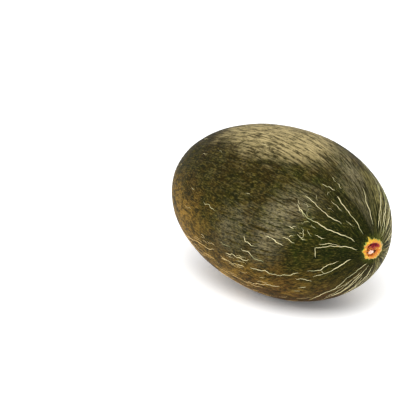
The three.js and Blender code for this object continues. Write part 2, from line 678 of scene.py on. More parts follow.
@dataclass(frozen=True)
class DryCork:
    """The cork that healed the cracks of the growing skin.

    To the eye it is raised, dry and matte: cream to pale green high on the fruit, and golden near the
    ground.
    """

    cream: str = "ece1ad"
    gold: str = "dcb671"
    pale_green: str = "a9aa78"
    grain: float = 3 * MM
    patch: float = 27 * MM
    bump: float = 0.1 * MM
    roughness: float = 0.78

    def build(self) -> Material:
        """Make the cork's material.

        Returns:
            The material.
        """
        material, tree = new_material("melon_dry_cork")
        position = add_node(tree, "ShaderNodeNewGeometry").outputs["Position"]
        parts = add_node(tree, "ShaderNodeSeparateXYZ", links={0: position}).outputs
        lean = {"operation": "MULTIPLY_ADD", 1: 0.5}
        distance = add_node(tree, "ShaderNodeMath", lean, {0: parts["X"], 2: parts["Z"]})
        mottled = {"Scale": 1 / self.grain, "Detail": 3.0}
        mottle = add_node(tree, "ShaderNodeTexNoise", mottled, {"Vector": position})
        broad = add_node(tree, "ShaderNodeTexNoise", {"Scale": 1 / self.patch}, {"Vector": position})
        layers = (
            (broad, 0.46, 0.66, self.pale_green),
            (distance, 86 * MM, 28 * MM, self.gold),
            (mottle, 0.60, 0.80, self.gold),
        )
        colour = lay_colours(tree, self.cream, layers)
        depth = {"Strength": 0.7, "Distance": self.bump}
        bump = add_node(tree, "ShaderNodeBump", depth, {"Height": mottle})
        settings = {"Roughness": self.roughness, "IOR": 1.42}
        finish_surface(tree, settings, {"Base Color": colour, "Normal": bump})
        return material


@dataclass(frozen=True)
class TornStem:
    """The fleshy ring where the stem broke off.

    To the eye it is moist and fibrous, yellow with greenish tips in the open and orange to dark red inside.
    Its pale flecks are painted highlights, and the dark red high in the pit is partly painted shade under
    its rim.
    """

    green_tip: str = "77802a"
    yellow: str = "cfa31a"
    # painted highlights: pale flecks laid along the fibres
    pale: str = "f0d87a"
    orange: str = "c06f18"
    red: str = "a8431a"
    # dark red high in the pit: partly the flesh's own red, partly painted shade
    red_and_shade: str = "7e1526"
    scarlet: str = "b42a2a"
    grain: float = 1.1 * MM
    blotch: float = 3.2 * MM
    lump: float = 2.1 * MM
    bump: float = 0.4 * MM
    roughness: float = 0.4

    def build(self) -> Material:
        """Make the torn flesh's material.

        Returns:
            The material.
        """
        material, tree = new_material("melon_torn_stem_flesh")
        position = add_node(tree, "ShaderNodeNewGeometry").outputs["Position"]
        reach = add_node(tree, "ShaderNodeAttribute", {"attribute_name": REACH}).outputs["Fac"]
        red_and_shade = add_node(tree, "ShaderNodeAttribute", {"attribute_name": PIT_RED_AND_SHADE}).outputs["Fac"]
        noises = {}
        for name, width, detail in (
            ("fibre", self.grain, 3.0),
            ("blotch", self.blotch, 2.0),
            ("lump", self.lump, 1.0),
        ):
            settings = {"Scale": 1 / width, "Detail": detail}
            noises[name] = add_node(tree, "ShaderNodeTexNoise", settings, {"Vector": position})
        fibre = noises["fibre"]
        for name, strength in (("fibre", 0.9), ("blotch", 0.7)):
            uneven = {"operation": "MULTIPLY_ADD", 1: strength}
            reach = add_node(tree, "ShaderNodeMath", uneven, {0: noises[name], 2: reach})
        cleft = add_node(tree, "ShaderNodeMath", {"operation": "MULTIPLY"}, {0: fibre, 1: red_and_shade})
        red_and_shade = add_node(tree, "ShaderNodeMath", {"operation": "MULTIPLY_ADD", 1: 0.8}, {0: fibre, 2: red_and_shade})
        layers = (
            (reach, 0.78, 1.02, self.orange),
            (reach, 1.14, 1.34, self.yellow),
            (noises["lump"], 0.52, 0.40, self.orange),
            # painted highlights: pale flecks along the fibres
            (fibre, 0.60, 0.72, self.pale),
            (reach, 1.48, 1.72, self.green_tip),
            # dark red high in the pit: partly its own red, partly painted shade
            (red_and_shade, 0.85, 1.20, self.red_and_shade),
            (cleft, 0.48, 0.62, self.scarlet),
        )
        colour = lay_colours(tree, self.red, layers)
        depth = {"Strength": 0.8, "Distance": self.bump}
        bump = add_node(tree, "ShaderNodeBump", depth, {"Height": fibre})
        settings = {
            "Roughness": self.roughness,
            "IOR": 1.4,
            "Subsurface Weight": 0.1,
            "Subsurface Scale": 1.5 * MM,
        }
        finish_surface(tree, settings, {"Base Color": colour, "Normal": bump})
        return material


@dataclass(frozen=True)
class PlainFlesh:
    """A small piece of torn or dried plant tissue.

    To the eye it is of one hue, streaked light and dark by its fibres.
    """

    name: str
    light: str
    dark: str
    grain: float = 1.0 * MM
    roughness: float = 0.5
    bump: float = 0.2 * MM

    def build(self) -> Material:
        """Make the tissue's material.

        Returns:
            The material.
        """
        material, tree = new_material(self.name)
        position = add_node(tree, "ShaderNodeNewGeometry").outputs["Position"]
        fibrous = {"Scale": 1 / self.grain, "Detail": 3.0}
        fibre = add_node(tree, "ShaderNodeTexNoise", fibrous, {"Vector": position})
        colour = lay_colours(tree, self.dark, ((fibre, 0.36, 0.64, self.light),))
        depth = {"Strength": 0.7, "Distance": self.bump}
        bump = add_node(tree, "ShaderNodeBump", depth, {"Height": fibre})
        settings = {"Roughness": self.roughness, "IOR": 1.42}
        finish_surface(tree, settings, {"Base Color": colour, "Normal": bump})
        return material


@dataclass(frozen=True)
class StudioFloor:
    """A matte white sheet that glows a little of itself, dimmed round the fruit's foot into a painted
    shadow.
    """

    white: str = "fafafa"
    glow: float = 0.27
    painted_shadow_glow: float = 0.06  # the glow under the fruit, dimmed to paint its contact shadow
    painted_shadow_edge: tuple[float, float] = (20 * MM, 64 * MM)  # the painted shadow's soft edge, from the fruit's long axis
    painted_shadow_stretch: float = 2.2  # how much longer than wide the painted shadow is
    roughness: float = 0.9

    def build(self) -> Material:
        """Make the floor's material.

        Returns:
            The material.
        """
        material, tree = new_material("studio_opal_acrylic")
        position = add_node(tree, "ShaderNodeNewGeometry").outputs["Position"]
        squeeze = {"operation": "MULTIPLY", 1: (1 / self.painted_shadow_stretch, 1, 0)}
        place = add_node(tree, "ShaderNodeVectorMath", squeeze, {0: position})
        away = add_node(tree, "ShaderNodeVectorMath", {"operation": "LENGTH"}, {0: place}).outputs["Value"]
        span = {
            "interpolation_type": "SMOOTHSTEP",
            "From Min": self.painted_shadow_edge[0],
            "From Max": self.painted_shadow_edge[1],
            "To Min": self.painted_shadow_glow,
            "To Max": self.glow,
        }
        glow = add_node(tree, "ShaderNodeMapRange", span, {"Value": away})
        settings = {
            "Base Color": linear(self.white),
            "Roughness": self.roughness,
            "Specular IOR Level": 0.1,
            "Emission Color": linear(self.white),
        }
        finish_surface(tree, settings, {"Emission Strength": glow})
        return material


# ----------------------------------------------------------------------------------------------------------
# The fruit's pieces
# ----------------------------------------------------------------------------------------------------------


@dataclass
class Rind:
    """The fruit's whole grown surface, closed under both scars."""

    skin: Skin
    rows: int = 236
    columns: int = 400
    mouth: float = 8.9 * MM  # distance from the stem's pole at which the skin turns in under the scar
    well_depth: float = 5.5 * MM  # how deep the hollow under the scar is
    well_floor: float = 0.8  # how wide its floor is, as a share of its mouth
    blossom_gap: float = 1 * MM  # from the last row of points to the blossom's pole

    def build(self) -> Object:
        """Make the rind's mesh and dress it.

        Returns:
            The rind.
        """
        turns = np.linspace(0.0, 2 * math.pi, self.columns, endpoint=False)
        rows = np.linspace(self.mouth, self.skin.length - self.blossom_gap, self.rows)
        along = np.repeat(rows, self.columns)
        angle = np.tile(turns, self.rows)
        points, _ = self.skin.place(along, angle)

        # Two more rows make the hollow under the stem's scar, and a point closes each end.
        rim = points[: self.columns]
        middle = rim.mean(axis=0)
        bottom = middle - np.array([self.well_depth, 0.0, 0.0])
        floor = (rim - middle) * self.well_floor + bottom
        points = np.concatenate([floor, points])
        far = points[-self.columns :].mean(axis=0) - np.array([0.1 * MM, 0.0, 0.0])
        faces = grid_faces(self.rows + 1, self.columns)
        faces += fan_faces(self.columns, 0, len(points))
        faces += fan_faces(self.columns, len(points) - self.columns, len(points) + 1)
        points = np.concatenate([points, [bottom, far]])
        rind = mesh_piece("melon_rind", points, faces)
        along = np.concatenate([along[: self.columns], along])
        self._mark_places(rind, np.concatenate([turns, angle]), along)
        self._unroll(rind)
        rind.data.materials.append(WaxyRind(self.skin.radius).build())
        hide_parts(FRUIT_NODE)
        return rind

    def _mark_places(self, rind: Object, angle: np.ndarray, along: np.ndarray) -> None:
        """Store where each point is on the unrolled skin, for the rind's patterns.

        Args:
            rind: the finished rind.
            angle: angles of its rows' points, in radians.
            along: distances of its rows' points from the stem's pole.
        """
        place = self.skin.direction(angle) * self.skin.radius
        place[:, 0] = along
        ends = np.array([[self.mouth, 0.0, 0.0], [self.skin.length, 0.0, 0.0]])
        values = np.concatenate([place, ends]).astype(np.float32)
        attribute = rind.data.attributes.new(PLACE, "FLOAT_VECTOR", "POINT")
        attribute.data.foreach_set("vector", values.ravel())

    def _unroll(self, rind: Object) -> None:
        """Give the rind a map that unrolls it round its long axis, cut along the top.

        Args:
            rind: the finished rind.
        """
        mesh = rind.data
        rows = self.rows + 1
        across = np.append(np.tile(np.arange(self.columns), rows) / self.columns, [0.5, 0.5])
        down = np.append(np.repeat(np.arange(1, rows + 1), self.columns) / (rows + 1), [0.0, 1.0])
        corners = np.zeros(len(mesh.loops), dtype=np.int32)
        mesh.loops.foreach_get("vertex_index", corners)
        layer = mesh.uv_layers.new(name=BAKE_MAP)
        for face in mesh.polygons:
            span = slice(face.loop_start, face.loop_start + face.loop_total)
            shares = across[corners[span]]
            if np.ptp(shares) > 0.5:  # the face lies over the cut
                shares = np.where(shares == 0.0, 1.0, shares)
            for loop, share, depth in zip(face.loop_indices, shares, down[corners[span]]):
                layer.data[loop].uv = (share, depth)


class Habit(Enum):
    """How a line of cork runs over the skin."""

    RAY = "long and nearly straight, away from the stem"
    DASH = "broken, along the fruit, with small steps"
    SQUIGGLE = "short, with sharp kinks"
    THREAD = "hair-fine"


@dataclass(frozen=True)
class LineStyle:
    """The width and the unsteadiness of one habit of cork line."""

    width: float
    sway: float  # how far the line swings to each side of its way
    sway_length: float
    kink: float  # how far its sharp corners throw it sideways
    kink_length: float


LINE_STYLES = {
    Habit.RAY: LineStyle(0.6 * MM, 0.5 * MM, 16 * MM, 0.3 * MM, 7 * MM),
    Habit.DASH: LineStyle(0.58 * MM, 0.6 * MM, 12 * MM, 0.9 * MM, 3.2 * MM),
    Habit.SQUIGGLE: LineStyle(0.66 * MM, 0.5 * MM, 8 * MM, 1.2 * MM, 2.6 * MM),
    Habit.THREAD: LineStyle(0.5 * MM, 0.7 * MM, 9 * MM, 0.5 * MM, 4 * MM),
}


@dataclass(frozen=True)
class CorkLine:
    """One line of cork: its habit and its way, as millimetres from the stem and degrees round the fruit."""

    habit: Habit
    way: tuple[tuple[float, float], ...]
    boldness: float = 1.0


@dataclass(frozen=True)
class CorkField:
    """A stretch of skin with many lines of one habit, each drawn at random within it."""

    habit: Habit
    count: int
    along: tuple[float, float]  # millimetres from the stem
    angle: tuple[float, float]  # degrees round the fruit
    length: tuple[float, float]  # millimetres
    boldness: tuple[float, float] = (0.7, 1.1)
    slant: float = 5.0  # how far a line may lean off the fruit's length, in degrees


# The bold lines of the stem's end and of the side that faces the viewer, chosen one by one.
BOLD_LINES = (
    CorkLine(Habit.RAY, ((20, 34), (34, 29), (46, 28), (62, 24)), 1.1),
    CorkLine(Habit.RAY, ((23, 62), (36, 61), (50, 61), (62, 59), (75, 57), (84, 53)), 1.0),
    CorkLine(Habit.RAY, ((19, 80), (40, 79), (56, 83), (59, 84), (59, 95)), 1.1),
    CorkLine(Habit.RAY, ((36, 78), (46, 77), (57, 80)), 0.7),
    CorkLine(Habit.RAY, ((38, 104), (48, 106), (56, 111), (69, 110)), 0.95),
    CorkLine(Habit.RAY, ((26, 106), (37, 112), (46, 116), (54, 117), (57, 112)), 1.05),
    CorkLine(Habit.RAY, ((54, 117), (66, 118)), 0.9),
    CorkLine(Habit.RAY, ((22, 354), (40, 355), (58, 349)), 1.0),
    CorkLine(Habit.RAY, ((14, 306), (32, 316), (52, 308), (73, 305)), 1.0),
    CorkLine(Habit.RAY, ((19, 337), (46, 323), (72, 317)), 0.9),
    CorkLine(Habit.RAY, ((15, 150), (26, 143), (40, 143), (56, 148), (72, 148), (96, 155)), 1.05),
    CorkLine(Habit.RAY, ((17, 170), (28, 162), (42, 160), (62, 163), (76, 160), (92, 166)), 1.05),
    CorkLine(Habit.RAY, ((19, 186), (35, 181), (49, 177), (66, 180)), 1.0),
    CorkLine(Habit.RAY, ((42, 47), (57, 47), (66, 45), (76, 43), (85, 41)), 0.85),
    CorkLine(Habit.RAY, ((49, 33), (63, 32)), 0.8),
    CorkLine(Habit.SQUIGGLE, ((67, 20), (69, 23), (74, 22), (80, 26)), 0.85),
    CorkLine(Habit.SQUIGGLE, ((73, 14), (80, 13)), 0.8),
    CorkLine(Habit.RAY, ((31, 39), (41, 40)), 0.8),
    CorkLine(Habit.SQUIGGLE, ((76, 58), (84, 53), (88, 50)), 0.9),
    CorkLine(Habit.SQUIGGLE, ((76, 67), (72, 70), (73, 75), (78, 75)), 0.9),
    CorkLine(Habit.SQUIGGLE, ((64, 73), (71, 68)), 0.85),
    CorkLine(Habit.SQUIGGLE, ((52, 73), (62, 70)), 0.85),
    CorkLine(Habit.SQUIGGLE, ((133, 86), (129, 90), (119, 91)), 1.0),
    CorkLine(Habit.SQUIGGLE, ((109, 82), (103, 82), (97, 84), (90, 87)), 1.05),
    CorkLine(Habit.SQUIGGLE, ((92, 79), (84, 80), (79, 83)), 1.0),
    CorkLine(Habit.RAY, ((246, 116), (206, 108), (187, 108), (177, 106)), 1.15),
    CorkLine(Habit.DASH, ((137, 96), (127, 97), (121, 101), (110, 102)), 1.05),
    CorkLine(Habit.DASH, ((169, 109), (154, 111), (138, 110)), 1.05),
    CorkLine(Habit.DASH, ((160, 104), (148, 103), (136, 105), (128, 103)), 1.0),
    CorkLine(Habit.DASH, ((130, 110), (112, 111), (100, 114)), 1.05),
    CorkLine(Habit.DASH, ((103, 114), (92, 113), (77, 112)), 1.0),
    CorkLine(Habit.DASH, ((140, 128), (120, 125), (104, 127)), 1.05),
    CorkLine(Habit.DASH, ((84, 117), (74, 120), (69, 124)), 0.9),
    CorkLine(Habit.DASH, ((170, 125), (146, 128), (128, 131)), 1.05),
    CorkLine(Habit.SQUIGGLE, ((194, 74), (174, 76)), 0.9),
)

# The rest of the net. It is dense along the two flanks that lay near the soil, and sparse over the back.
CORK_FIELDS = (
    CorkField(Habit.RAY, 12, (15, 30), (195, 292), (28, 85), (0.5, 0.9)),
    CorkField(Habit.RAY, 6, (15, 24), (292, 330), (30, 60), (0.45, 0.8)),
    CorkField(Habit.RAY, 3, (22, 50), (150, 195), (25, 50), (0.5, 0.8)),
    CorkField(Habit.THREAD, 16, (18, 60), (150, 330), (16, 45)),
    CorkField(Habit.DASH, 38, (122, 250), (110, 152), (8, 22), (0.5, 0.95)),
    CorkField(Habit.DASH, 6, (75, 120), (116, 150), (8, 20), (0.5, 0.8)),
    CorkField(Habit.DASH, 40, (70, 290), (210, 252), (9, 34)),
    CorkField(Habit.DASH, 26, (90, 270), (150, 210), (9, 30), (0.5, 0.9)),
    CorkField(Habit.DASH, 10, (120, 200), (97, 112), (6, 16), (0.5, 0.85)),
    CorkField(Habit.SQUIGGLE, 12, (60, 86), (45, 80), (4, 9), (0.6, 0.85), 40.0),
    CorkField(Habit.SQUIGGLE, 5, (55, 80), (14, 46), (4, 8), (0.4, 0.6), 30.0),
    CorkField(Habit.SQUIGGLE, 12, (60, 130), (262, 312), (5, 16), (0.6, 1.0), 30.0),
    CorkField(Habit.DASH, 14, (130, 300), (255, 285), (6, 22), (0.6, 1.0)),
    CorkField(Habit.THREAD, 64, (120, 310), (100, 260), (8, 24)),
    CorkField(Habit.THREAD, 22, (130, 300), (262, 450), (6, 14), (0.5, 0.8)),
    CorkField(Habit.RAY, 12, (296, 312), (0, 360), (14, 26), (0.5, 0.8)),
    CorkField(Habit.DASH, 14, (150, 225), (112, 146), (8, 22), (0.6, 1.0)),
)


@dataclass
class CorkNet:
    """The raised net of cork lines, as low ridges let into the skin."""

    skin: Skin
    step: float = 1.15 * MM
    rise: float = 0.34  # the height of a line as a share of its width
    sink: float = 0.16 * MM  # how deep the sides go into the skin
    ridge: float = 0.5  # the flat of the line's back as a share of its width
    end_length: float = 4.5 * MM  # over which a line thins out at each end
    margins: tuple[float, float] = (12 * MM, 6 * MM)  # kept clear round the stem's and the blossom's pole
    seed: int = 4
    finish: DryCork = field(default_factory=DryCork)

    def build(self) -> Object:
        """Make all the lines as one mesh and dress it.

        Returns:
            The net.
        """
        rng = np.random.default_rng(self.seed)
        lines = list(BOLD_LINES)
        for stretch in CORK_FIELDS:
            lines.extend(self._scatter(stretch, rng))
        vertices: list[np.ndarray] = []
        faces: list[tuple[int, ...]] = []
        count = 0
        for line in lines:
            ridge = self._ridge(line, rng)
            rows = len(ridge) // 4
            faces.extend(grid_faces(rows, 4, count))
            faces.append((count, count + 1, count + 2, count + 3))
            end = count + len(ridge) - 4
            faces.append((end + 3, end + 2, end + 1, end))
            vertices.append(ridge)
            count += len(ridge)
        net = mesh_piece("cork_net", np.concatenate(vertices), faces)
        net.data.materials.append(self.finish.build())
        return net

    def _scatter(self, stretch: CorkField, rng: np.random.Generator) -> list[CorkLine]:
        """Draw a field's lines.

        Args:
            stretch: the field.
            rng: the source of its chances.

        Returns:
            The lines.
        """
        lines = []
        for number in range(stretch.count):
            start = rng.uniform(*stretch.along)
            spread = (number + rng.uniform(0.1, 0.9)) / stretch.count
            angle = stretch.angle[0] + (stretch.angle[1] - stretch.angle[0]) * spread
            length = rng.uniform(*stretch.length)
            lean = math.radians(rng.normal(0.0, stretch.slant))
            ahead = length * math.cos(lean)
            ring = float(self.skin.ring_radius((start + ahead / 2) * MM))
            turn = math.degrees(length * MM * math.sin(lean) / ring)
            boldness = rng.uniform(*stretch.boldness)
            way = ((start, angle), (start + ahead / 2, angle + turn * 0.4), (start + ahead, angle + turn))
            lines.append(CorkLine(stretch.habit, way, boldness))
        return lines

    def _ridge(self, line: CorkLine, rng: np.random.Generator) -> np.ndarray:
        """Lay one line on the skin.

        Args:
            line: the line.
            rng: the source of its sway, its kinks and its width.

        Returns:
            Its points, four to a row: two sunk in the skin and two on its back.
        """
        style = LINE_STYLES[line.habit]
        way = np.array(line.way, dtype=float)
        along_way = way[:, 0] * MM
        angle_way = np.radians(way[:, 1])
        ring = self.skin.ring_radius(along_way)
        hops = np.hypot(np.diff(along_way), np.diff(angle_way) * (ring[1:] + ring[:-1]) / 2)
        knots = np.concatenate([[0.0], np.cumsum(hops)])
        length = knots[-1]
        places = np.linspace(0.0, length, max(4, int(length / self.step)))
        along = np.interp(places, knots, along_way)
        angle = np.interp(places, knots, angle_way)

        # The line sways gently, and steps sideways at sharp corners, in its own two directions.
        heading_x = np.gradient(along)
        heading_y = np.gradient(angle) * self.skin.ring_radius(along)
        size = np.hypot(heading_x, heading_y) + 1e-9
        phase = rng.uniform(0.0, 2 * math.pi, 2)
        turns = places / style.sway_length * 2 * math.pi
        sideways = style.sway * (0.6 * np.sin(turns + phase[0]) + 0.4 * np.sin(2.3 * turns + phase[1]))
        corners = np.arange(-style.kink_length, length + 2 * style.kink_length, style.kink_length)
        corners = corners + rng.uniform(-0.3, 0.3, len(corners)) * style.kink_length
        sideways += np.interp(places, corners, rng.uniform(-1.0, 1.0, len(corners)) * style.kink)
        along = along - heading_y / size * sideways
        angle = angle + heading_x / size * sideways / self.skin.ring_radius(along)
        along = np.clip(along, self.margins[0], self.skin.length - self.margins[1])

        uneven = 0.85 + 0.3 * np.interp(places, corners, rng.uniform(-1.0, 1.0, len(corners)))
        ends = np.minimum(places, length - places) / min(self.end_length, length / 2.2)
        width = style.width * line.boldness * uneven * np.clip(ends, 0.02, 1.0) ** 0.6
        centre, normal = self.skin.place(along, angle)
        forward = np.gradient(centre, axis=0)
        side = np.cross(normal, forward)
        side /= np.linalg.norm(side, axis=1)[:, None] + 1e-12
        rows = []
        for across, up in ((-0.5, 0.0), (-self.ridge / 2, 1.0), (self.ridge / 2, 1.0), (0.5, 0.0)):
            lift = width * self.rise if up else np.full_like(width, -self.sink)
            rows.append(centre + side * (across * width)[:, None] + normal * lift[:, None])
        ridge = np.stack(rows, axis=1).reshape(-1, 3)
        ridge[:, 2] = np.maximum(ridge[:, 2], 0.0)
        return ridge


@dataclass
class StemScar:
    """The scar where the stem broke away: a star-edged fleshy ring round a torn pit."""

    skin: Skin
    columns: int = 180
    points: int = 16  # of the star
    outer: float = 10.0 * MM  # the ring's edge between its points
    crest: float = 8.1 * MM
    pit_edge: float = 6.9 * MM
    pit_floor: float = 5.6 * MM
    ring_height: float = 1.5 * MM
    pit_depth: float = 2.1 * MM  # of the floor below the skin
    torn_height: float = 0.7 * MM  # of the bumps on the pit's floor
    edge_sunk: float = 0.35 * MM  # how far the ring's edge goes into the skin
    edge_proud: float = 0.08 * MM  # how far the ring stands off the skin just inside its edge
    root_depth: float = 5.0 * MM  # of the ring's underside below the skin
    pit_aside: float = -1.4 * MM  # of the pit's middle from the ring's, to +Y
    wide: float = 1.25  # the scar is wider than it is high
    high: float = 1.0
    tilt: float = 17.0  # how far its long way leans down towards +Y, in degrees
    fibre_sides: int = 6
    seed: int = 11
    flesh: TornStem = field(default_factory=TornStem)
    # dark red fibres high in the pit: partly their own red, partly painted shade
    red_fibre_and_shade: PlainFlesh = PlainFlesh("melon_stem_fibre_red_and_painted_shade", "b8303a", "640d18", 1.0 * MM, 0.4)
    gold_fibre: PlainFlesh = PlainFlesh("melon_golden_stem_fibre", "e0962a", "b4521a", 1.0 * MM, 0.45)
    pale_pith: PlainFlesh = PlainFlesh("melon_pale_stem_pith", "fae4d4", "dd9f7e", 1.2 * MM, 0.45)
    # a painted shadow: short dark lumps in the pit's dark hole
    pit_shadow: PlainFlesh = PlainFlesh("melon_stem_pit_painted_shadow", "4a1c10", "1e0a06", 0.8 * MM, 0.6)

    def build(self) -> list[Object]:
        """Make the ring with its pit, and what is torn off inside it.

        Returns:
            The pieces.
        """
        rng = np.random.default_rng(self.seed)
        pieces = [self._ring(rng)]
        # The dark red fibres high in the pit are partly painted shade, and the short dark lumps are a
        # painted shadow in its hole.
        for name, finish, count, middle, spread, length in (
            ("stem_fibres_red_and_shade", self.red_fibre_and_shade, 44, (0.6, 3.2), (5.0, 1.9), (1.8, 3.3)),
            ("stem_fibres_gold", self.gold_fibre, 34, (-4.9, 0.0), (2.2, 3.6), (1.6, 3.1)),
            ("stem_pit_painted_shadow", self.pit_shadow, 16, (4.8, -3.4), (1.5, 1.3), (0.5, 1.2)),
        ):
            pieces.append(self._fibres(name, finish, count, middle, spread, length, rng))
        pieces.append(self._pith())
        return pieces

    def _outline(self, angle: np.ndarray) -> np.ndarray:
        """How much wider the scar is than a round one, at each angle."""
        turned = angle + math.radians(self.tilt)
        return np.hypot(self.wide * np.sin(turned), self.high * np.cos(turned))

    def _spikes(self, angle: np.ndarray, rng: np.random.Generator) -> np.ndarray:
        """The points of the star, as extra reach at each angle.

        Args:
            angle: angles round the scar, in radians.
            rng: the source of their places and lengths.

        Returns:
            Lengths in metres.
        """
        count = self.points
        middles = (np.arange(count) + rng.uniform(-0.3, 0.3, count)) * 2 * math.pi / count
        lengths = rng.uniform(0.5, 2.6, count) * MM
        widths = rng.uniform(0.07, 0.12, count)

        # One point, high on the ring, is much longer than the rest.
        middles = np.append(middles, math.radians(24))
        lengths = np.append(lengths, 4.2 * MM)
        widths = np.append(widths, 0.12)
        reach = np.zeros_like(angle)
        for middle, length, width in zip(middles, lengths, widths):
            off = (angle - middle + math.pi) % (2 * math.pi) - math.pi
            reach = reach + length * np.exp(-np.abs(off / width) ** 1.5)
        return reach

    def _profile(
        self, angle: np.ndarray, outward: np.ndarray, rng: np.random.Generator
    ) -> list[tuple[np.ndarray, np.ndarray, float]]:
        """The section of the ring and its pit, from the ring's edge over its crest to the pit's middle.

        Args:
            angle: angles round the scar, in radians.
            outward: the directions across the long axis at those angles.
            rng: the source of the star's points.

        Returns:
            For each row of points, their distances from the middle, their heights and their reach.
        """
        wide = self._outline(angle)
        spikes = self._spikes(angle, rng)
        broad, fine = noise_at(outward, 0.45, 21), noise_at(outward, 0.15, 22)
        outer = self.outer * wide * (1.0 + 0.04 * broad) + spikes
        crest = self.crest * wide * (1.0 + 0.04 * broad)
        edge = self.pit_edge * wide * (1.0 + 0.10 * broad + 0.07 * fine)
        foot = self.pit_floor * wide * (1.0 + 0.12 * broad + 0.10 * fine)
        top = self.ring_height * (1.0 + 0.22 * broad + 0.26 * fine)
        rows = []

        # The slope up from the edge.
        for share in (0.0, 0.06, 0.2, 0.38, 0.58, 0.78, 1.0):
            lift = self.edge_proud if share else -self.edge_sunk
            rise = top * (0.5 - 0.5 * math.cos(math.pi * share)) ** 0.8 + lift
            rows.append((outer + (crest - outer) * share, rise, 1.0 - 0.55 * share))

        # The back, the wall of the pit, and its floor.
        for share in (0.35, 0.7, 1.0):
            rise = top * (1.0 - 0.28 * share**2)
            rows.append((crest + (edge - crest) * share, rise, 0.45 - 0.12 * share))
        for share in (0.2, 0.45, 0.7, 0.9, 1.0):
            rise = top * 0.72 * (1.0 - share) - self.pit_depth * share
            rows.append((edge + (foot - edge) * share**0.8, rise, 0.33 - 0.33 * share))
        for share in (0.72, 0.46, 0.22):
            torn = self.torn_height * noise_at(outward * share, 0.16, 23)
            rows.append((foot * share, torn - self.pit_depth, 0.0))
        return rows

    def _ring(self, rng: np.random.Generator) -> Object:
        """Make the fleshy ring with its pit, closed underneath, and dress it.

        Args:
            rng: the source of the star's points.

        Returns:
            The ring.
        """
        angle = np.linspace(0.0, 2 * math.pi, self.columns, endpoint=False)
        outward = self.skin.direction(angle)
        profile = self._profile(angle, outward, rng)
        rows = []
        for radius, rise, reach in profile:
            moved = self.pit_aside * smooth_share(np.array(reach), 1.0, 0.5)
            rows.append(self._set_back(outward, radius, rise, float(moved)))
        under = []
        deep = self.root_depth
        for radius, sunk in ((4.0 * MM, deep), (6.7 * MM, deep), (8.3 * MM, 1.2 * MM)):
            flat = np.ones(self.columns)
            under.append(self._set_back(outward, radius * flat, -sunk * flat))
        heights = np.array([-self.pit_depth, -deep])
        centres = self._set_back(np.zeros((2, 3)), np.zeros(2), heights)
        vertices = np.concatenate(rows + under + [centres])

        # The pit's floor and the underside each close on their middle, and the two join at the ring's edge.
        count = self.columns
        first_under = len(rows) * count
        last_under = first_under + (len(under) - 1) * count
        faces: list[tuple[int, ...]] = grid_faces(len(rows), count)
        faces += grid_faces(len(under), count, first_under)
        faces += fan_faces(count, first_under - count, len(vertices) - 2)
        faces += fan_faces(count, first_under, len(vertices) - 1)
        for column in range(count):
            after = (column + 1) % count
            faces.append((last_under + column, last_under + after, after, column))
        ring = mesh_piece("stem_scar_ring", vertices, faces)

        reach = np.zeros(len(vertices))
        reach[:first_under] = np.repeat([row[2] for row in profile], count)
        # The upper part of the pit is painted dark red: partly the flesh's own red, partly painted shade
        # under its rim.
        aside = vertices[:, 1:] - np.array(self._in_pit(0.0, 0.0, 0.0))[1:]
        upper = smooth_share(aside[:, 1] + 0.3 * aside[:, 0], 0.5 * MM, 4.5 * MM)
        for name, values in ((REACH, reach), (PIT_RED_AND_SHADE, upper * smooth_share(reach, 0.42, 0.30))):
            attribute = ring.data.attributes.new(name, "FLOAT", "POINT")
            attribute.data.foreach_set("value", values.astype(np.float32))
        ring.data.materials.append(self.flesh.build())
        return ring

    def _set_back(
        self, outward: np.ndarray, radius: np.ndarray, rise: np.ndarray, moved: float = 0.0
    ) -> np.ndarray:
        """Places at a distance from the scar's middle and a height above the skin there.

        Args:
            outward: directions across the long axis.
            radius: distances from the scar's middle.
            rise: heights above the smooth skin, along the axis.
            moved: how far they are all moved to +Y.

        Returns:
            The places.
        """
        aside, up = self.skin.scar_aside
        shift = np.array([0.0, aside + moved, up])
        return self.skin.on_stem_end(outward * radius[:, None] + shift, rise)

    def _fibres(
        self,
        name: str,
        finish: PlainFlesh,
        count: int,
        middle: tuple[float, float],
        spread: tuple[float, float],
        length: tuple[float, float],
        rng: np.random.Generator,
    ) -> Object:
        """Make a tuft of torn fibres standing on the pit's floor, and dress it.

        Args:
            name: the piece's name.
            finish: the fibres' finish.
            count: how many there are.
            middle: the tuft's middle, in millimetres towards +Y and up from the scar's.
            spread: how far they stray from it each way, in millimetres.
            length: the shortest and the longest, in millimetres.
            rng: the source of their places and leans.

        Returns:
            The tuft.
        """
        sides = self.fibre_sides
        vertices: list[Vector] = []
        faces: list[tuple[int, ...]] = []
        floor_x = float(self.skin.x[0]) - self.pit_depth - 0.4 * MM
        for _ in range(count):
            radius = rng.uniform(0.28, 0.5) * MM
            tall = rng.uniform(*length) * MM
            place = Vector((0.0, *middle)) + Vector((0.0, *(rng.uniform(-1, 1, 2) * spread)))
            root = self._in_pit(place.y * MM, place.z * MM, floor_x)
            lean = Vector((1.0, *rng.normal(0.0, 0.45, 2))).normalized()
            bend = Vector((0.0, *rng.normal(0.0, 0.35, 2)))
            aside = lean.orthogonal().normalized()
            other = lean.cross(aside)
            first = len(vertices)
            for share, width in ((0.0, 1.0), (0.4, 0.95), (0.75, 0.7), (0.95, 0.35)):
                middle_point = root + lean * tall * share + bend * tall * share**2
                for side in range(sides):
                    turn = 2 * math.pi * side / sides
                    offset = (aside * math.cos(turn) + other * math.sin(turn)) * radius * width
                    vertices.append(middle_point + offset)
            faces += grid_faces(4, sides, first)
            faces.append(tuple(first + side for side in reversed(range(sides))))
            faces.append(tuple(first + 3 * sides + side for side in range(sides)))
        piece = mesh_piece(name, np.array([tuple(point) for point in vertices]), faces)
        piece.data.materials.append(finish.build())
        return piece

    def _in_pit(self, across: float, up: float, x: float) -> Vector:
        """A place in the pit, by its distance from the pit's middle to +Y and up."""
        middle_y, middle_z = self.skin.scar_aside
        return Vector((x, across + middle_y + self.pit_aside, up + middle_z + self.skin.axis_height))

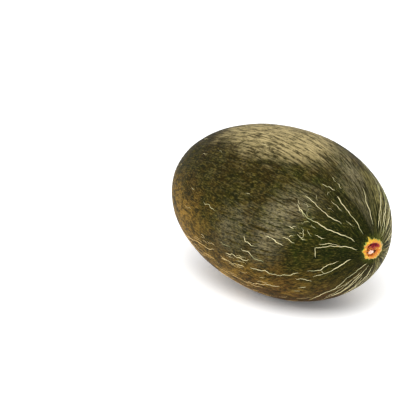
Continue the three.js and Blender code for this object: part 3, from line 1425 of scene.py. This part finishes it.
    def _pith(self) -> Object:
        """Make the pale torn pith low in the pit, a ragged lump.

        Returns:
            The pith.
        """
        middle = self._in_pit(-1.3 * MM, -2.4 * MM, float(self.skin.x[0]) - 1.2 * MM)
        half = Vector((1.5 * MM, 3.1 * MM, 1.7 * MM))
        ball = bmesh.new()
        bmesh.ops.create_icosphere(ball, subdivisions=4, radius=1.0)
        ball.verts.index_update()
        points = []
        for vertex in ball.verts:
            ragged = 1.0 + 0.30 * noise.noise(vertex.co * 2.2) + 0.14 * noise.noise(vertex.co * 6.0)
            points.append([at + side * size * ragged for at, side, size in zip(middle, vertex.co, half)])
        faces = [tuple(corner.index for corner in face.verts) for face in ball.faces]
        ball.free()
        pith = mesh_piece("stem_pith_pale", np.array(points), faces)
        pith.data.materials.append(self.pale_pith.build())
        return pith


@dataclass
class BlossomScar:
    """The dry button that the blossom left at the far end."""

    skin: Skin
    radius: float = 4.6 * MM
    rise: float = 0.8 * MM
    dent: float = 0.55  # how deep its middle is sunk, as a share of its rise
    dent_width: float = 0.36  # as a share of its radius
    crack_depth: float = 0.26 * MM
    rows: int = 12
    columns: int = 60
    finish: PlainFlesh = PlainFlesh("melon_dried_blossom_button", "8f7448", "3f2e19", 1.1 * MM, 0.8)

    def build(self) -> Object:
        """Make the button and dress it.

        Returns:
            The button.
        """
        angle = np.linspace(0.0, 2 * math.pi, self.columns, endpoint=False)
        outward = self.skin.direction(angle)
        pole_x = float(self.skin.x[-1])
        ragged = self.radius * (1.0 + 0.12 * noise_at(outward, 0.35, 31))
        rows = []
        for row in range(self.rows):
            share = 1.0 - row / self.rows
            points = outward * (ragged * share)[:, None]
            cracks = self.crack_depth * noise_at(outward * share, 0.16, 32)
            sag = self.radius**2 * share**2 / (2 * self.skin.radius) * 1.6
            dent = self.dent * math.exp(-((share / self.dent_width) ** 2))
            swell = self.rise * (1.0 - dent) + cracks
            points[:, 0] = pole_x + sag - swell * (1.0 - share**4) + 0.3 * MM * share**8
            points[:, 2] += self.skin.axis_height
            rows.append(points)
        centre = [pole_x - (1.0 - self.dent) * self.rise, 0.0, self.skin.axis_height]
        back = [pole_x + 1.5 * MM, 0.0, self.skin.axis_height]
        vertices = np.concatenate(rows + [[centre, back]])
        faces = grid_faces(self.rows, self.columns)
        faces += fan_faces(self.columns, (self.rows - 1) * self.columns, len(vertices) - 2)
        faces += fan_faces(self.columns, 0, len(vertices) - 1)
        button = mesh_piece("blossom_scar_button", vertices, faces)
        button.data.materials.append(self.finish.build())
        return button


# ----------------------------------------------------------------------------------------------------------
# The studio
# ----------------------------------------------------------------------------------------------------------


@dataclass(frozen=True)
class Softbox:
    """One square soft light that points at the fruit, by its place seen from the fruit."""

    name: str
    azimuth: float  # degrees, as the camera's
    elevation: float
    distance: float
    size: float
    power: float
    warmth: str = "ffffff"

    def build(self, target: Vector) -> Object:
        """Hang the light.

        Args:
            target: what it points at.

        Returns:
            The light.
        """
        lamp = bpy.data.lights.new(self.name, "AREA")
        lamp.shape = "SQUARE"
        lamp.size = self.size
        lamp.energy = self.power
        lamp.color = linear(self.warmth)[:3]
        light = bpy.data.objects.new(self.name, lamp)
        bpy.context.scene.collection.objects.link(light)
        towards = view_direction(self.azimuth, self.elevation)
        light.location = target + towards * self.distance
        light.rotation_euler = towards.to_track_quat("Z", "Y").to_euler()
        return light


def view_direction(azimuth: float, elevation: float) -> Vector:
    """The direction from the fruit to a viewer.

    Args:
        azimuth: degrees round from -Y towards +X.
        elevation: degrees above level.

    Returns:
        A direction of length 1.
    """
    turn, lift = math.radians(azimuth), math.radians(elevation)
    return Vector((math.sin(turn) * math.cos(lift), -math.cos(turn) * math.cos(lift), math.sin(lift)))


@dataclass
class Studio:
    """The pale floor, the soft light and the camera."""

    skin: Skin
    azimuth: float = 46.9
    elevation: float = 21.4
    distance_in_radii: float = 24.0
    lens: float = 181.2
    right_of_middle: float = 0.195  # where the fruit stands in the picture, as shares of its width
    below_middle: float = 0.0235
    floor_size: float = 6.0
    floor_gap: float = 0.05 * MM  # left under the fruit, so that the two don't lie in one plane
    sky: float = 0.88
    softboxes: tuple[Softbox, ...] = (
        Softbox("softbox_main", 47.0, 52.0, 1.6, 0.9, 18.0),
        Softbox("softbox_side", -8.0, 29.0, 1.6, 0.4, 3.0),
    )
    finish: StudioFloor = field(default_factory=StudioFloor)

    def build(self) -> None:
        """Set up the floor, the lights, the sky and the camera."""
        middle = Vector((0.0, 0.0, self.skin.axis_height))
        half = self.floor_size / 2
        mesh = bpy.data.meshes.new("studio_floor")
        corners = [(-half, -half, 0), (half, -half, 0), (half, half, 0), (-half, half, 0)]
        mesh.from_pydata(corners, [], [(0, 1, 2, 3)])
        floor = bpy.data.objects.new("studio_floor", mesh)
        floor.location.z = -self.floor_gap
        mesh.materials.append(self.finish.build())
        bpy.context.scene.collection.objects.link(floor)
        for softbox in self.softboxes:
            softbox.build(middle)
        world = bpy.data.worlds.new("studio_sky")
        world.use_nodes = True
        world.node_tree.nodes["Background"].inputs["Color"].default_value = linear("ffffff")
        world.node_tree.nodes["Background"].inputs["Strength"].default_value = self.sky
        scene = bpy.context.scene
        scene.world = world
        scene.view_settings.view_transform = "Standard"
        self._camera(middle)

    def _camera(self, middle: Vector) -> None:
        """Place the camera, turned a little so that the fruit stands off the picture's middle.

        Args:
            middle: the fruit's middle, which it looks at before it is turned.
        """
        camera = bpy.data.cameras.new("camera")
        camera.lens = self.lens
        stand = bpy.data.objects.new("camera", camera)
        bpy.context.scene.collection.objects.link(stand)
        towards = view_direction(self.azimuth, self.elevation)
        stand.location = middle + towards * self.distance_in_radii * self.skin.radius
        widths = self.lens / camera.sensor_width
        yaw = Quaternion((0.0, 1.0, 0.0), math.atan(self.right_of_middle / widths))
        pitch = Quaternion((1.0, 0.0, 0.0), math.atan(self.below_middle / widths))
        stand.rotation_mode = "QUATERNION"
        stand.rotation_quaternion = towards.to_track_quat("Z", "Y") @ yaw @ pitch
        bpy.context.scene.camera = stand


def main() -> None:
    """Build the fruit and the studio, and log how many faces each piece has."""
    logging.basicConfig(level=logging.INFO, format="%(name)s: %(message)s")
    low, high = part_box(FRUIT_NODE)
    skin = Skin(low, high)
    pieces = [Rind(skin).build(), CorkNet(skin).build(), *StemScar(skin).build(), BlossomScar(skin).build()]
    for piece in pieces:
        LOG.info("%s: %d faces", piece.name, len(piece.data.polygons))
    Studio(skin).build()


if __name__ == "__main__":
    main()
